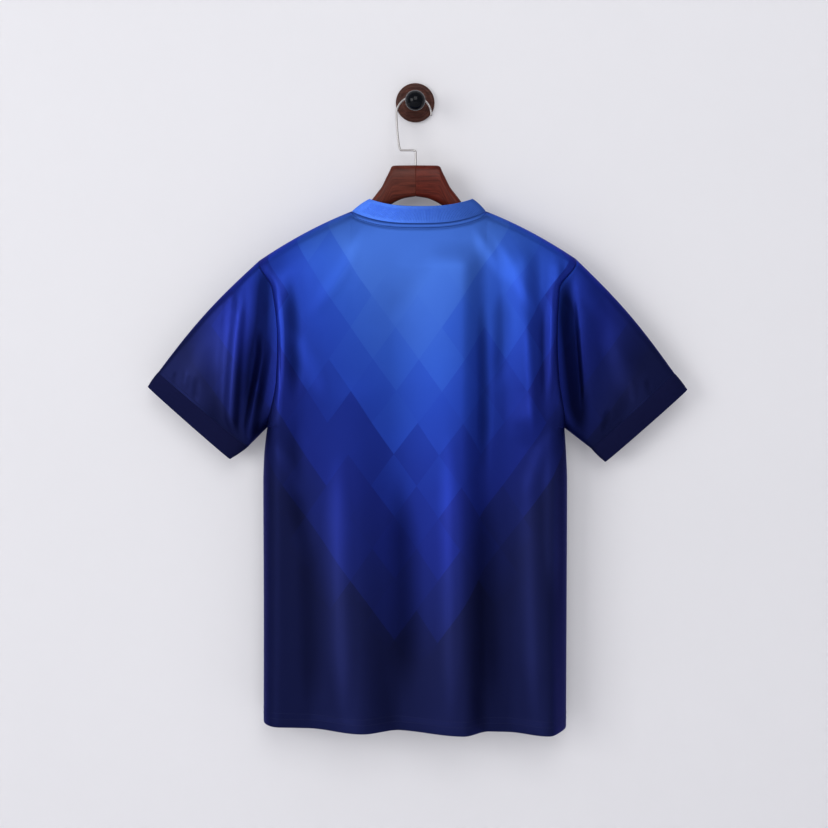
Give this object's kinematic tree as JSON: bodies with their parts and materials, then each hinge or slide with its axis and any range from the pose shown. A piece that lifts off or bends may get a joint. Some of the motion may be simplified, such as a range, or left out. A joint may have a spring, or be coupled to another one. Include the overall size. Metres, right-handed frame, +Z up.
{
  "type": "football jersey on a wooden hanger, hung from a wall knob",
  "caption": "Short-sleeved football jersey with a ribbed crew collar and separate cuffs, hanging open on a wire-hooked wooden hanger from a turned wall knob.",
  "frame": {"origin": "middle of the rosette's flat back, where it meets the wall", "axes": "+Z up along the hanging jersey, +Y into the wall, +X to the right of someone facing the jersey's back"},
  "size_m": [0.7554, 0.1026, 0.9085],
  "materials": {
    "jersey_knit": "satin polyester interlock knit, royal blue fading to navy",
    "cuff_knit": "navy polyester knit, folded double",
    "collar_rib": "fine one by one rib knit",
    "hanger_wood": "lacquered dark red-brown wood, satin",
    "hook_steel": "bright nickel-plated wire",
    "rosette_wood": "turned dark walnut, satin lacquer",
    "knob_gloss": "glossy black lacquer"
  },
  "bodies": {
    "root": {"back_panel": "jersey_knit", "front_panel": "jersey_knit", "sleeve_left": "jersey_knit", "sleeve_right": "jersey_knit", "cuff_left": "cuff_knit", "cuff_right": "cuff_knit", "collar": "collar_rib", "hanger": "hanger_wood", "hook": "hook_steel", "rosette": "rosette_wood", "knob": "knob_gloss"}
  },
  "joints": []
}
